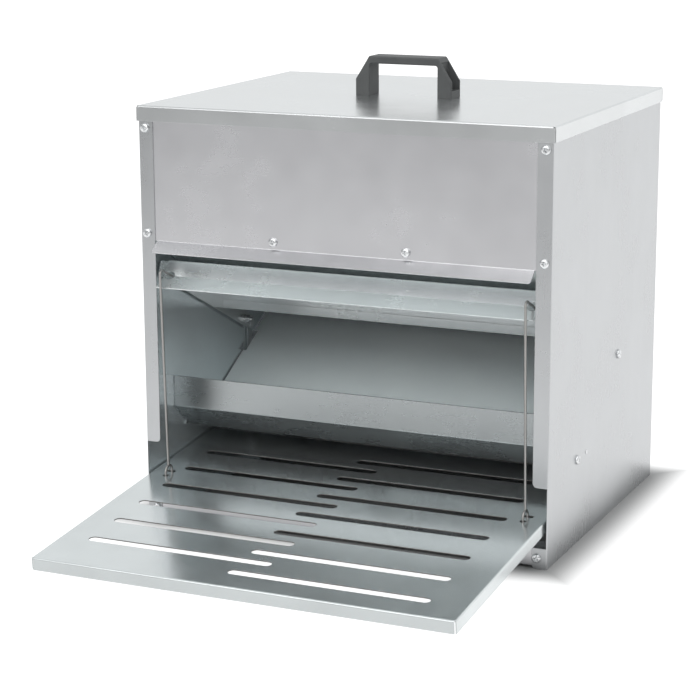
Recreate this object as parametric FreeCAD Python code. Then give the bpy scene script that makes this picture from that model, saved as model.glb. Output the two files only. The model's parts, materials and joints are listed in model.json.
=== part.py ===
"""Gravity poultry feeder with a treadle that opens the cover over its trough.

Units are millimetres.  X runs across the feeder, Y runs from the treadle to the back panel and
Z points up.  While a shape is being built Y is measured from the front face of the body.  On
export everything moves by FRONT_Y, which puts the origin under the middle of the whole feeder.
The pose is the loaded one: treadle pressed, trough cover lifted, hold-open rods hooked in.
"""
import FreeCAD, Part
import math
import os

from FreeCAD import Vector

# ---- Driving dimensions -------------------------------------------------------------------
SHEET = 1.0                  # galvanised sheet
BEND = 0.8                   # inner radius of a fold
HALF_W = 210.0               # half the width of the body
DEPTH = 337.0                # depth of the body
BODY_TOP = 411.0             # height of the side panels
FLANGE = 15.0                # folded edges of the side panels
NOTCH_LOW = 20.0             # the treadle passes between these two heights
NOTCH_HIGH = 78.0
LID_OVERHANG = 1.5
LID_SKIRT = 15.0
LID_PLAY = 0.5               # gap between the lid's skirt and the body
LID_SEAM = 1.3               # open seam between the skirt's front and side
HOOD_FOLD_Z = 281.0          # front panel turns into the hood lip here
HOOD_LIP = (12.5, 9.5)       # how far the hood lip runs forward and down
HOOD_HALF = 193.5
CHUTE_TILT = 27.8            # slope of the feed floor, degrees
TROUGH_LIP = (56.0, 132.0)   # Y, Z of the trough's front edge
TROUGH_BOTTOM_Z = 75.4

COVER_PIVOT = (209.0, 160.0)  # Y, Z of the trough cover's bolts
COVER_TILT = 26.0            # how far the lifted cover rises towards the front, degrees
COVER_TOP = 7.0              # height of its sheet above the line through the pivot
COVER_FRONT = 209.2          # pivot to its front fold
COVER_WIDE_TO = 203.5        # the full width stops here, behind the front flanges
COVER_HALF = 205.5
COVER_NOSE_HALF = 194.0
COVER_FOLD = (2.3, -9.7)     # from the front fold: where the nose turns into the lip, along and above
COVER_LIP = (13.9, -24.7)    # the lip's free edge, the same way
COVER_REAR = 58.0
COVER_REAR_DROP = 10.0
COVER_TAIL = 22.0            # the side arms run on behind the pivot
LINK_ARM = 16.0              # pivot to the pull link's pin

TREADLE_PIVOT = (322.8, 68.5)
TREADLE_TILT = 5.14          # slope of the pressed treadle, degrees
TREADLE_FRONT = 547.5        # pivot to front edge
TREADLE_REAR = 187.5         # pivot to the plate's rear edge
TREADLE_HALF = 207.0
TREADLE_FLANGE = 12.0
TREADLE_TOP = 6.5            # plate's top above the pivot line
TREADLE_LINK = 101.5         # pivot to the pull link's pin
SLOT_W = 10.0
SLOT_PITCH = 47.15
SLOT_ROWS = (((-178.6, 9.0), 255.0, 6), ((-21.6, 172.0), 233.5, 7))  # X run, pivot to first row, rows
RING_HOLE_R = 2.6
ROD_HOLE_R = 3.0
ROD_X = 187.5                # hold-open rods
ROD_D = 2.5
ROD_RING_R = 6.5
ROD_RING_RISE = 2.2          # ring centre above the middle of the plate
RING_FORWARD = 321.0         # treadle's pivot to the rod rings
HOOK_TILT = 26.0             # the hook falls towards the cover, degrees
HOOK_REACH = 7.0             # how far its tip passes the cover's fold
HOOK_RISE = 1.0              # its height above the fold, at the fold
HOOK_CLEAR = 3.2             # the upright stands this far in front of the lip

SCREW_D = 5.0
HEAD_D = 9.2
HEAD_H = 2.8
NUT_AF = 8.0
NUT_H = 4.0
PIN_D = 5.0
PIVOT_ROD_D = 8.0
RUNNING = 0.05               # radial play of a turning fit
LINK_PLAY = 0.9              # radial play of the pull links' upper eyes

HANDLE_Y = DEPTH / 2
HANDLE_HALF = 51.0
HANDLE_W = 25.0
HANDLE_H = 39.0
HANDLE_LEG = 16.0            # the outside leans in above this height
HANDLE_TOP_HALF = 36.5
HANDLE_OPENING = (36.0, 31.5)  # half the width and the height of the grip opening
HANDLE_WALL = 2.6
HANDLE_FOOT = 7.0            # solid foot below the hollow ends

X_AXIS = Vector(1, 0, 0)
Y_AXIS = Vector(0, 1, 0)
Z_AXIS = Vector(0, 0, 1)
SIDES = (("left", -1), ("right", 1))


# ---- Helpers ------------------------------------------------------------------------------
def box(x0, x1, y0, y1, z0, z1):
    """Box between two corners, given in any order."""
    low = Vector(min(x0, x1), min(y0, y1), min(z0, z1))
    return Part.makeBox(abs(x1 - x0), abs(y1 - y0), abs(z1 - z0), low)


def rod(radius, start, end):
    """Round bar between two points."""
    run = end - start
    return Part.makeCylinder(radius, run.Length, start, run)


def fuse(shapes):
    """One clean solid from touching solids."""
    joined = shapes[0].multiFuse(shapes[1:]) if len(shapes) > 1 else shapes[0]
    return joined.removeSplitter()


def cut(shape, tools):
    """Shape less all the tools."""
    return shape.cut(Part.makeCompound(tools)) if tools else shape


def mirror_x(shape):
    """The same shape on the other side of the feeder."""
    return shape.mirror(Vector(0, 0, 0), X_AXIS)


def both_sides(shape):
    """The shape and its mirror image as separate solids."""
    return [shape, mirror_x(shape)]


def group(shapes):
    """Several separate solids in one node."""
    solids = []
    for shape in shapes:
        solids.extend(shape.Solids)
    return Part.makeCompound(solids)


def fillet_where(shape, radius, wanted):
    """Round the edges whose middle satisfies wanted(point, direction)."""
    picked = []
    for edge in shape.Edges:
        if edge.Curve.TypeId != "Part::GeomLine":
            continue
        first, last = edge.Vertexes[0].Point, edge.Vertexes[-1].Point
        if wanted((first + last) * 0.5, (last - first).normalize()):
            picked.append(edge)
    return shape.makeFillet(radius, picked) if picked else shape


def rounded_line(points, radii):
    """Edges of a polyline whose inner corners are arcs of the given radii."""
    edges = []
    start = points[0]
    for index in range(1, len(points) - 1):
        corner = points[index]
        before = (corner - points[index - 1]).normalize()
        after = (points[index + 1] - corner).normalize()
        half_turn = before.getAngle(after) / 2
        reach = radii[index] * math.tan(half_turn)
        inward = (after - before).normalize()
        middle = corner + inward * (radii[index] / math.cos(half_turn) - radii[index])
        arc_start = corner - before * reach
        arc_end = corner + after * reach
        edges.append(Part.LineSegment(start, arc_start).toShape())
        edges.append(Part.Arc(arc_start, middle, arc_end).toShape())
        start = arc_end
    edges.append(Part.LineSegment(start, points[-1]).toShape())
    return edges


def folded_face(path, side):
    """Cross-section of a folded sheet in the YZ plane.

    path lists (y, z) points of one face; side is +1 or -1, the side of it the metal lies on.
    """
    face = [Vector(0, y, z) for y, z in path]
    runs = [(b - a).normalize() for a, b in zip(face, face[1:])]
    normals = [Vector(0, -run.z, run.y) * side for run in runs]
    other = [face[0] + normals[0] * SHEET]
    near_radii = [0]
    far_radii = [0]
    for index in range(1, len(face) - 1):
        n0, n1 = normals[index - 1], normals[index]
        other.append(face[index] + (n0 + n1) * (SHEET / (1 + n0.dot(n1))))
        metal_inside = runs[index].dot(n0) > 0
        near_radii.append(BEND + SHEET if metal_inside else BEND)
        far_radii.append(BEND if metal_inside else BEND + SHEET)
    other.append(face[-1] + normals[-1] * SHEET)
    near = rounded_line(face, near_radii)
    far = rounded_line(other, far_radii)
    ends = [Part.LineSegment(face[0], other[0]).toShape(), Part.LineSegment(face[-1], other[-1]).toShape()]
    wire = Part.Wire(Part.__sortEdges__(near + far + ends))
    return Part.Face(wire)


def folded_sheet(path, side, x0, x1):
    """Folded sheet with the same section from x0 to x1."""
    face = folded_face(path, side)
    face.translate(Vector(x0, 0, 0))
    return face.extrude(Vector(x1 - x0, 0, 0))


def turned_to(shape, place, direction):
    """Move a shape built along +Z to a place, with +Z turned to a direction."""
    moved = shape.copy()
    moved.Placement = FreeCAD.Placement(place, FreeCAD.Rotation(Z_AXIS, direction))
    return moved


def pan_screw(place, direction, length):
    """Cross-recess pan head screw; place is under the head, direction points out of it."""
    head = Part.makeCylinder(HEAD_D / 2, HEAD_H)
    rim = [edge for edge in head.Edges if abs(edge.BoundBox.ZMin - HEAD_H) < 1e-6 and edge.Closed]
    head = head.makeFillet(1.9, rim)
    floor = HEAD_H - 1.5
    recess = [box(-2.5, 2.5, -0.55, 0.55, floor, HEAD_H), box(-0.55, 0.55, -2.5, 2.5, floor, HEAD_H)]
    shank = Part.makeCylinder(SCREW_D / 2, length, Vector(0, 0, -length))
    return turned_to(fuse([cut(head, recess), shank]), place, direction)


def hex_nut(place, direction, height=NUT_H):
    """Hexagon nut that stands on place and rises along direction."""
    corner = NUT_AF / math.sqrt(3)
    angles = [math.radians(60 * step) for step in range(7)]
    outline = Part.makePolygon([Vector(corner * math.cos(a), corner * math.sin(a), 0) for a in angles])
    blank = Part.Face(outline).extrude(Vector(0, 0, height))
    bore = Part.makeCylinder(SCREW_D / 2 + 0.02, height)
    return turned_to(blank.cut(bore), place, direction)


def washer(place, direction, outer_d, height, bore_d=SCREW_D + 0.04):
    """Plain round washer or spacer."""
    ring = Part.makeCylinder(outer_d / 2, height).cut(Part.makeCylinder(bore_d / 2, height))
    return turned_to(ring, place, direction)


def rivet(place, direction, head_d, head_h, shank_d, length):
    """Domed head above place and a shank below it."""
    head = Part.makeCylinder(head_d / 2, head_h)
    rim = [edge for edge in head.Edges if abs(edge.BoundBox.ZMin - head_h) < 1e-6 and edge.Closed]
    head = head.makeFillet(head_h * 0.7, rim)
    shank = Part.makeCylinder(shank_d / 2, length, Vector(0, 0, -length))
    return turned_to(fuse([head, shank]), place, direction)


def screw_hole(place, direction, radius=SCREW_D / 2 + 0.05, reach=8.0):
    """Cutter for a hole through thin sheet near place."""
    return rod(radius, place - direction * reach, place + direction * reach)


def cover_point(along, above):
    """Y, Z of a point given in the lifted cover's own frame."""
    tilt = math.radians(COVER_TILT)
    y = COVER_PIVOT[0] - along * math.cos(tilt) + above * math.sin(tilt)
    z = COVER_PIVOT[1] + along * math.sin(tilt) + above * math.cos(tilt)
    return y, z


def tilt_treadle(shape):
    """Turn a shape built on the level treadle to the pressed position."""
    turned = shape.copy()
    turned.rotate(Vector(0, *TREADLE_PIVOT), X_AXIS, TREADLE_TILT)
    return turned


def treadle_y(forward):
    """Y of a place on the level treadle, given its distance forward of the pivot."""
    return TREADLE_PIVOT[0] - forward


def treadle_point(forward, above):
    """Y, Z of a point of the level treadle once it is pressed."""
    tilt = math.radians(TREADLE_TILT)
    y = TREADLE_PIVOT[0] - forward * math.cos(tilt) - above * math.sin(tilt)
    z = TREADLE_PIVOT[1] - forward * math.sin(tilt) + above * math.cos(tilt)
    return y, z


# ---- Places of the screws -------------------------------------------------------------------
FRONT_SCREWS = [(x, z) for x in (-203.0, 203.0) for z in (390.5, 288.0)]
BAFFLE_SCREWS = [(-68.0, 288.0), (68.0, 288.0)]
BASE_SCREWS = [(-200.0, 10.5), (200.0, 10.5)]
BACK_SCREWS = [(x, z) for x in (-203.0, 203.0) for z in (390.5, 240.0, 40.0)]
CHUTE_SCREWS = [(x, 200.0) for x in (-130.0, 0.0, 130.0)]
BRACKET_SCREWS = [(x, z) for x in (-176.0, 176.0) for z in (56.0, 81.0)]
TROUGH_SCREW = (84.0, 84.0)
TOE_RIVETS = (-150.0, 0.0, 150.0)
ARM_RIVETS = (200.0, 250.0)
ARM_RIVET_HOLE_R = 2.05
RIVET_HOLE_R = 1.65          # trough ears and slope toe
TOE_RIVET_Y = 109.0
BRACKET_X = (187.0, 190.0)   # inner and outer face of the pivot bracket's cheek
BRACKET_FOOT_X = 167.0
BRACKET_T = 3.0
BRACKET_HALF_H = 19.0
BRACKET_NOSE = 9.0           # the cheek runs this far in front of the pivot rod
EAR_RIVET = (112.0, 84.5)
CHUTE_TOE = (104.0, TROUGH_BOTTOM_Z + 2 * SHEET)
CHUTE_BEND = (116.0, TROUGH_BOTTOM_Z + 2 * SHEET)
HANDLE_SCREW_X = 43.0


# ---- Casing ---------------------------------------------------------------------------------
def side_panel():
    """Right side panel: wall with folded front, rear, top and bottom edges."""
    wall = box(HALF_W - SHEET, HALF_W, 0, DEPTH, 0, BODY_TOP)
    front = box(HALF_W - FLANGE, HALF_W, 0, SHEET, 0, BODY_TOP - SHEET)
    rear = box(HALF_W - FLANGE, HALF_W, DEPTH - SHEET, DEPTH, 0, BODY_TOP - SHEET)

    def upright_corner(point, run):
        return abs(run.z) > 0.99 and abs(point.x - HALF_W) < 0.01

    def flange_corner(point, run):
        at_low_end = abs(point.z - NOTCH_HIGH) < 0.01 or abs(point.z) < 0.01
        return abs(run.y) > 0.99 and at_low_end and abs(point.x - HALF_W + FLANGE) < 0.01 and point.y < 2

    def top_corner(point, run):
        return abs(run.y) > 0.99 and abs(point.x - HALF_W) < 0.01 and abs(point.z - BODY_TOP) < 0.01

    shell = fillet_where(fuse([wall, front, rear]), 1.2, upright_corner)
    edge_room = FLANGE + 4
    top = box(HALF_W - 12, HALF_W - 0.5, edge_room, DEPTH - edge_room, BODY_TOP - SHEET, BODY_TOP)
    bottom = box(HALF_W - 12, HALF_W - 0.5, edge_room + 4, DEPTH - edge_room, 0, SHEET)
    notch = box(HALF_W - FLANGE - 1, HALF_W - SHEET, -1, SHEET + 1, NOTCH_LOW, NOTCH_HIGH)
    panel = fillet_where(cut(fuse([shell, top, bottom]), [notch]), 0.9, top_corner)
    panel = fillet_where(panel, 4.5, flange_corner)
    holes = [screw_hole(Vector(x, 0, z), Y_AXIS) for x, z in FRONT_SCREWS + BASE_SCREWS if x > 0]
    holes += [screw_hole(Vector(x, DEPTH, z), Y_AXIS) for x, z in BACK_SCREWS if x > 0]
    holes.append(screw_hole(Vector(HALF_W, *COVER_PIVOT), X_AXIS))
    holes.append(screw_hole(Vector(HALF_W, *TROUGH_SCREW), X_AXIS))
    holes.append(screw_hole(Vector(HALF_W, *EAR_RIVET), X_AXIS, RIVET_HOLE_R))
    return cut(panel, holes)


def front_panel():
    """Upper front with its hood lip, behind the side panels' front flanges."""
    half = HALF_W - SHEET - 0.5
    top_z = BODY_TOP - 2 * SHEET
    forward, drop = HOOD_LIP
    upper = folded_sheet([(12, top_z), (SHEET, top_z), (SHEET, HOOD_FOLD_Z)], 1, -half, half)
    path = [(SHEET, HOOD_FOLD_Z + 20), (SHEET, HOOD_FOLD_Z), (SHEET - forward, HOOD_FOLD_Z - drop)]
    lip = folded_sheet(path, 1, -HOOD_HALF, HOOD_HALF)
    trims = []
    for side in (-1, 1):
        trims.append(box(side * (HALF_W - FLANGE - 6), side * HALF_W, -1, 12, top_z - 2, top_z + 1))
    holes = [screw_hole(Vector(x, 0, z), Y_AXIS, reach=4) for x, z in FRONT_SCREWS + BAFFLE_SCREWS]
    panel = cut(fuse([upper, lip]), trims + holes)

    def lip_corner(point, run):
        at_lip = abs(point.z - (HOOD_FOLD_Z - drop)) < 1.5
        return at_lip and abs(abs(point.x) - HOOD_HALF) < 0.5 and abs(run.x) < 0.5

    return fillet_where(panel, 3.0, lip_corner)


def back_panel():
    """Flat back between the rear flanges, folded in at its top and bottom edges."""
    half = HALF_W - SHEET - 0.5
    face = DEPTH - SHEET
    top_z = BODY_TOP - 2 * SHEET
    path = [(face - 12, 3), (face, 3), (face, top_z), (face - 12, top_z)]
    panel = folded_sheet(path, 1, -half, half)
    corners = [box(side * (half - 13), side * (half + 1), face - 13, face - SHEET - BEND, z, z + 3)
               for side in (-1, 1) for z in (2.5, top_z - 2)]
    places = BACK_SCREWS + CHUTE_SCREWS + BRACKET_SCREWS
    holes = [screw_hole(Vector(x, DEPTH, z), Y_AXIS) for x, z in places]
    return cut(panel, corners + holes)


def base_rail():
    """Angle that ties the side panels together at the front, behind their bottom tabs."""
    half = HALF_W - SHEET - 0.5
    rail = folded_sheet([(SHEET, 2.7), (SHEET, NOTCH_LOW), (22, NOTCH_LOW)], -1, -half, half)
    holes = [screw_hole(Vector(x, 0, z), Y_AXIS, reach=4) for x, z in BASE_SCREWS]
    return cut(rail, holes)


def lid():
    """Flat lid with a folded skirt, open by a narrow seam at each corner."""
    outer = LID_OVERHANG
    top = BODY_TOP + SHEET
    low = top - LID_SKIRT
    half = HALF_W + outer
    across = folded_sheet([(-outer, low), (-outer, top), (DEPTH + outer, top), (DEPTH + outer, low)], -1,
                          -half + BEND + SHEET, half - BEND - SHEET)
    side_path = [(-half, low), (-half, top), (half, top), (half, low)]
    along = folded_sheet(side_path, -1, 0, DEPTH)
    along.rotate(Vector(0, 0, 0), Z_AXIS, -90)
    along.translate(Vector(0, DEPTH, 0))
    cap = fuse([across, along])
    ends = []
    for y0, y1 in ((-outer, -outer + SHEET), (DEPTH + outer - SHEET, DEPTH + outer)):
        for side in (-1, 1):
            inner_x = side * (half - BEND - SHEET - 0.5)
            ends.append(box(inner_x, side * (half - 0.2), y0, y1, low, top - BEND - SHEET))
    cap = fuse([cap] + ends)
    seams = [box(side * (half + 1), side * (half - 2.4), y, y + LID_SEAM, low - 1, top - 2.2)
             for side in (-1, 1) for y in (-LID_PLAY, DEPTH + LID_PLAY - LID_SEAM)]
    holes = [rod(SCREW_D / 2 + 0.05, Vector(x, HANDLE_Y, low), Vector(x, HANDLE_Y, top + 1))
             for x in (-HANDLE_SCREW_X, HANDLE_SCREW_X)]
    return cut(cap, seams + holes)


def lid_handle():
    """Moulded bridge handle with hollow ends."""
    base = BODY_TOP + SHEET
    y0 = HANDLE_Y - HANDLE_W / 2
    hole_half, hole_top = HANDLE_OPENING

    def prism(outline, start, width):
        points = [Vector(x, start, base + z) for x, z in outline]
        return Part.Face(Part.makePolygon(points + points[:1])).extrude(Vector(0, width, 0))

    def upper_corner(point, run):
        return abs(run.y) > 0.99 and point.z > base + HANDLE_FOOT

    def top_edge(point, run):
        at_side = abs(abs(point.y - HANDLE_Y) - HANDLE_W / 2) < 0.01
        return at_side and abs(run.x) > 0.99 and abs(point.x) < 1 and point.z > base + HANDLE_LEG

    block = prism([(-HANDLE_HALF, 0), (-HANDLE_HALF, HANDLE_LEG), (-HANDLE_TOP_HALF, HANDLE_H),
                   (HANDLE_TOP_HALF, HANDLE_H), (HANDLE_HALF, HANDLE_LEG), (HANDLE_HALF, 0)], y0, HANDLE_W)
    opening = prism([(-hole_half, -1), (-hole_half, hole_top), (hole_half, hole_top), (hole_half, -1)],
                    y0 - 1, HANDLE_W + 2)
    handle = fillet_where(block, 2.0, upper_corner).cut(fillet_where(opening, 2.5, upper_corner))
    handle = fillet_where(handle, 1.5, top_edge)
    cutters = []
    for side in (-1, 1):
        wall_x = side * (hole_half + HANDLE_WALL)
        outside = side * (HANDLE_HALF + 1)
        pocket = [(outside, HANDLE_FOOT), (outside, HANDLE_LEG), (wall_x + side * 1.6, HANDLE_H - 2.5),
                  (wall_x, HANDLE_H - 6), (wall_x, HANDLE_FOOT)]
        cutters.append(prism(pocket, y0 + HANDLE_WALL, HANDLE_W - 2 * HANDLE_WALL))
        foot = Vector(side * HANDLE_SCREW_X, HANDLE_Y, base)
        cutters.append(rod(SCREW_D / 2 + 0.05, foot, foot + Vector(0, 0, 12)))
    return cut(handle, cutters)


# ---- Feed path ------------------------------------------------------------------------------
def throat_baffle():
    """Front slope of the hopper, hung from the front panel above the lifted cover."""
    half = HALF_W - SHEET - 1.0
    back = 2 * SHEET
    run_y = 195.0
    low_z = HOOD_FOLD_Z - (run_y - back) * math.tan(math.radians(COVER_TILT))
    path = [(back, HOOD_FOLD_Z + 15), (back, HOOD_FOLD_Z + 0.5), (run_y, low_z), (run_y, low_z - 10)]
    sheet = folded_sheet(path, 1, -half, half)
    holes = [screw_hole(Vector(x, 0, z), Y_AXIS, reach=6) for x, z in FRONT_SCREWS[1::2] + BAFFLE_SCREWS]
    return cut(sheet, holes)


def toe_rivet_holes():
    """Cutters for the rivets that join the slope's toe to the trough."""
    z = CHUTE_TOE[1]
    return [rod(RIVET_HOLE_R, Vector(x, TOE_RIVET_Y, z - 8), Vector(x, TOE_RIVET_Y, z + 8)) for x in TOE_RIVETS]


def feed_slope():
    """Feed floor from the back panel down to the trough, notched for the pull links."""
    half = HALF_W - SHEET - 1.5
    rear = DEPTH - 3 * SHEET
    rear_z = CHUTE_BEND[1] + (rear - CHUTE_BEND[0]) * math.tan(math.radians(CHUTE_TILT))
    sheet = folded_sheet([CHUTE_TOE, CHUTE_BEND, (rear, rear_z), (rear, rear_z + 16)], -1, -half, half)
    notches = [box(side * 204.0, side * 209.0, 208.0, 238.0, 115.0, 160.0) for side in (-1, 1)]
    holes = [screw_hole(Vector(x, DEPTH, z), Y_AXIS) for x, z in CHUTE_SCREWS]
    holes += toe_rivet_holes()
    return cut(sheet, notches + holes)


def feed_trough():
    """Trough front and bottom with a hemmed lip and an ear at each end."""
    half = HALF_W - SHEET - 0.5
    lip_y, lip_z = TROUGH_LIP
    low = TROUGH_BOTTOM_Z
    body = folded_sheet([(lip_y, lip_z), (lip_y, 100.6), (82.6, low), (122.0, low)], 1, -half, half)
    hem = box(-half, half, lip_y + SHEET - 0.2, lip_y + 2 * SHEET, lip_z - 8, lip_z)
    ears = [box(side * (half + 0.5), side * (half - 0.7), 78.0, 120.0, low + 0.2, low + 17)
            for side in (-1, 1)]
    trough = fuse([body, hem] + ears)
    holes = [screw_hole(Vector(side * half, *TROUGH_SCREW), X_AXIS) for side in (-1, 1)]
    holes += [screw_hole(Vector(side * half, *EAR_RIVET), X_AXIS, RIVET_HOLE_R) for side in (-1, 1)]
    holes += toe_rivet_holes()
    return cut(trough, holes)


# ---- Trough cover ---------------------------------------------------------------------------
def cover_flap():
    """Lifting cover: wide sheet, narrow nose with flared lip, side arms on the pivot bolts."""
    rear_drop = cover_point(COVER_REAR, COVER_TOP - COVER_REAR_DROP)
    rear = cover_point(COVER_REAR, COVER_TOP)
    nose = cover_point(COVER_FRONT, COVER_TOP)
    fold = cover_point(COVER_FRONT + COVER_FOLD[0], COVER_FOLD[1])
    lip = cover_point(COVER_FRONT + COVER_LIP[0], COVER_LIP[1])
    wide_end = cover_point(COVER_WIDE_TO, COVER_TOP)
    wide = folded_sheet([rear_drop, rear, wide_end], 1, -COVER_HALF, COVER_HALF)
    behind_nose = cover_point(COVER_WIDE_TO - 30, COVER_TOP)
    narrow = folded_sheet([behind_nose, nose, fold, lip], 1, -COVER_NOSE_HALF, COVER_NOSE_HALF)
    arms = [cover_arm(side) for side in (-1, 1)]
    flap = fuse([wide, narrow] + arms)
    tilt = math.radians(COVER_TILT)
    outward = Vector(0, -math.cos(tilt) * 0.9, math.sin(tilt) * 0.9 + 0.35).normalize()
    hooks = [screw_hole(Vector(side * ROD_X, *fold), outward, 5.0, 12) for side in (-1, 1)]
    return cut(flap, hooks)


def cover_arm(side):
    """Side arm of the cover with a round tail, the bolt hole and the pin hole."""
    inner = side * (COVER_HALF - SHEET)
    half_deep = 7.3
    pivot_y, pivot_z = COVER_PIVOT
    level = box(inner, side * COVER_HALF, pivot_y + COVER_TAIL - half_deep, pivot_y - COVER_WIDE_TO,
                pivot_z - half_deep, pivot_z + COVER_TOP)
    start = Vector(inner, pivot_y + COVER_TAIL - half_deep, pivot_z)
    tail = rod(half_deep, start, start + X_AXIS * side * SHEET)
    bolt = screw_hole(Vector(inner, pivot_y, pivot_z), X_AXIS, SCREW_D / 2 + RUNNING)
    pin = screw_hole(Vector(inner, pivot_y + LINK_ARM, pivot_z), X_AXIS, PIN_D / 2 + 0.02)
    arm = cut(fuse([level, tail]), [bolt, pin])
    arm.rotate(Vector(0, pivot_y, pivot_z), X_AXIS, -COVER_TILT)
    return arm


def cover_bolts():
    """Bolts through the side panels that the cover turns on."""
    return group(both_sides(pan_screw(Vector(HALF_W, *COVER_PIVOT), X_AXIS, 14.0)))


def cover_washers():
    """Spacer between wall and arm, and the washer under the lock nut."""
    spacer = washer(Vector(COVER_HALF + 0.1, *COVER_PIVOT), X_AXIS, 9.0, HALF_W - SHEET - COVER_HALF - 0.1)
    inner = washer(Vector(COVER_HALF - SHEET - 0.1, *COVER_PIVOT), X_AXIS * -1, 10.0, 1.0)
    return group(both_sides(spacer) + both_sides(inner))


def cover_nuts():
    """Lock nuts on the ends of the cover's bolts."""
    return group(both_sides(hex_nut(Vector(COVER_HALF - SHEET - 1.1, *COVER_PIVOT), X_AXIS * -1, 5.0)))


def cover_link_pins():
    """Pins riveted in the tails of the cover's arms."""
    place = Vector(COVER_HALF - SHEET, *cover_point(-LINK_ARM, 0))
    return group(both_sides(rivet(place, X_AXIS * -1, 8.5, 1.4, PIN_D, HALF_W - SHEET - 0.5 - place.x)))


# ---- Treadle --------------------------------------------------------------------------------
def slot_cutter(x_range, y):
    """Slot with round ends across the level treadle."""
    z0 = TREADLE_PIVOT[1] - 20
    radius = SLOT_W / 2
    left, right = x_range
    ends = [Part.makeCylinder(radius, 40, Vector(x, y, z0)) for x in (left + radius, right - radius)]
    return fuse([box(left + radius, right - radius, y - radius, y + radius, z0, z0 + 40)] + ends)


def treadle_plate():
    """Slotted step plate with folded edges."""
    top = TREADLE_PIVOT[1] + TREADLE_TOP
    low = top - TREADLE_FLANGE
    front = treadle_y(TREADLE_FRONT)
    rear = treadle_y(TREADLE_REAR)
    middle = folded_sheet([(front, low), (front, top), (rear, top), (rear, low)], -1,
                          -TREADLE_HALF + BEND + SHEET, TREADLE_HALF - BEND - SHEET)
    length = rear - front - 3.2
    half = TREADLE_HALF
    edges = folded_sheet([(-half, low), (-half, top), (half, top), (half, low)],
                         -1, 0, length)
    edges.rotate(Vector(0, 0, 0), Z_AXIS, -90)
    edges.translate(Vector(0, rear - 1.6, 0))
    plate = fuse([middle, edges])
    hinge_y = treadle_y(RING_FORWARD)
    cutters = []
    for run, first, count in SLOT_ROWS:
        cutters += [slot_cutter(run, treadle_y(first + SLOT_PITCH * row)) for row in range(count)]
    for side in (-1, 1):
        cutters.append(box(side * 202.0, side * 206.3, rear - 3, rear + 1, low - 1, top - 2.1))
        front_hole = Vector(side * ROD_X, hinge_y - ROD_RING_R + 0.25, low - 20)
        cutters.append(Part.makeCylinder(ROD_HOLE_R, 40, front_hole))
        x = side * (ROD_X + 1.0)
        y = hinge_y + ROD_RING_R - 0.25
        r = RING_HOLE_R
        ends = [Part.makeCylinder(r, 40, Vector(x + step, y, low - 20)) for step in (-r, r)]
        cutters.append(fuse([box(x - r, x + r, y - r, y + r, low - 20, low + 20)] + ends))
        for forward in ARM_RIVETS:
            place = Vector(side * TREADLE_HALF, treadle_y(forward), TREADLE_PIVOT[1])
            cutters.append(screw_hole(place, X_AXIS, 2.05))
    return tilt_treadle(cut(plate, cutters))


def treadle_arm(side):
    """Flat bar inside the plate's edge that carries it back to the pivot rod."""
    outer = side * (TREADLE_HALF - SHEET)
    inner = outer - side * 3.0
    pivot_z = TREADLE_PIVOT[1]
    deep = 4.3
    bar = box(inner, outer, treadle_y(0), treadle_y(262.0), pivot_z - deep, pivot_z + deep)
    end = Vector(inner, treadle_y(0), pivot_z)
    tail = rod(7.6, end, end + X_AXIS * side * 3.0)
    holes = [screw_hole(end, X_AXIS, PIVOT_ROD_D / 2 + RUNNING)]
    holes.append(screw_hole(Vector(inner, treadle_y(TREADLE_LINK), pivot_z), X_AXIS, PIN_D / 2 + 0.02))
    holes += [screw_hole(Vector(inner, treadle_y(forward), pivot_z), X_AXIS, ARM_RIVET_HOLE_R)
              for forward in ARM_RIVETS]
    return tilt_treadle(cut(fuse([bar, tail]), holes))


def treadle_arm_rivets():
    """Rivets that join the arms to the plate's folded edges."""
    rivets = []
    for forward in ARM_RIVETS:
        place = Vector(TREADLE_HALF, treadle_y(forward), TREADLE_PIVOT[1])
        rivets += both_sides(rivet(place, X_AXIS, 7.0, 1.2, 4.0, 5.0))
    return tilt_treadle(group(rivets))


def treadle_link_pins():
    """Pins riveted in the arms that carry the pull links."""
    place = Vector(TREADLE_HALF - SHEET - 3.0, treadle_y(TREADLE_LINK), TREADLE_PIVOT[1])
    length = HALF_W - SHEET - 0.5 - place.x
    return tilt_treadle(group(both_sides(rivet(place, X_AXIS * -1, 8.5, 1.4, PIN_D, length))))


def treadle_pivot_rod():
    """Rod behind the feed floor that the treadle's arms turn on."""
    half = HALF_W - SHEET - 1.0
    return rod(PIVOT_ROD_D / 2, Vector(-half, *TREADLE_PIVOT), Vector(half, *TREADLE_PIVOT))


def pivot_rod_clips():
    """Retaining rings on both sides of each arm."""
    places = (TREADLE_HALF - SHEET + 0.2, TREADLE_HALF - SHEET - 3.0 - 1.4)
    rings = []
    for x in places:
        ring = washer(Vector(x, *TREADLE_PIVOT), X_AXIS, 13.0, 1.2, PIVOT_ROD_D + 0.04)
        rings += both_sides(ring)
    return group(rings)


def pivot_bracket(side):
    """Bracket on the back panel that holds the pivot rod."""
    y, z = TREADLE_PIVOT
    back = DEPTH - 2 * SHEET
    inner, outer = BRACKET_X
    low, high = z - BRACKET_HALF_H, z + BRACKET_HALF_H
    cheek = box(side * outer, side * inner, y - BRACKET_NOSE, back, low, high)
    foot = box(side * outer, side * BRACKET_FOOT_X, back - BRACKET_T, back, low, high)
    holes = [screw_hole(Vector(x, DEPTH, hole_z), Y_AXIS) for x, hole_z in BRACKET_SCREWS if x * side > 0]
    holes.append(screw_hole(Vector(side * (inner + outer) / 2, y, z), X_AXIS, PIVOT_ROD_D / 2 + 0.02))
    return cut(fuse([cheek, foot]), holes)


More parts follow.
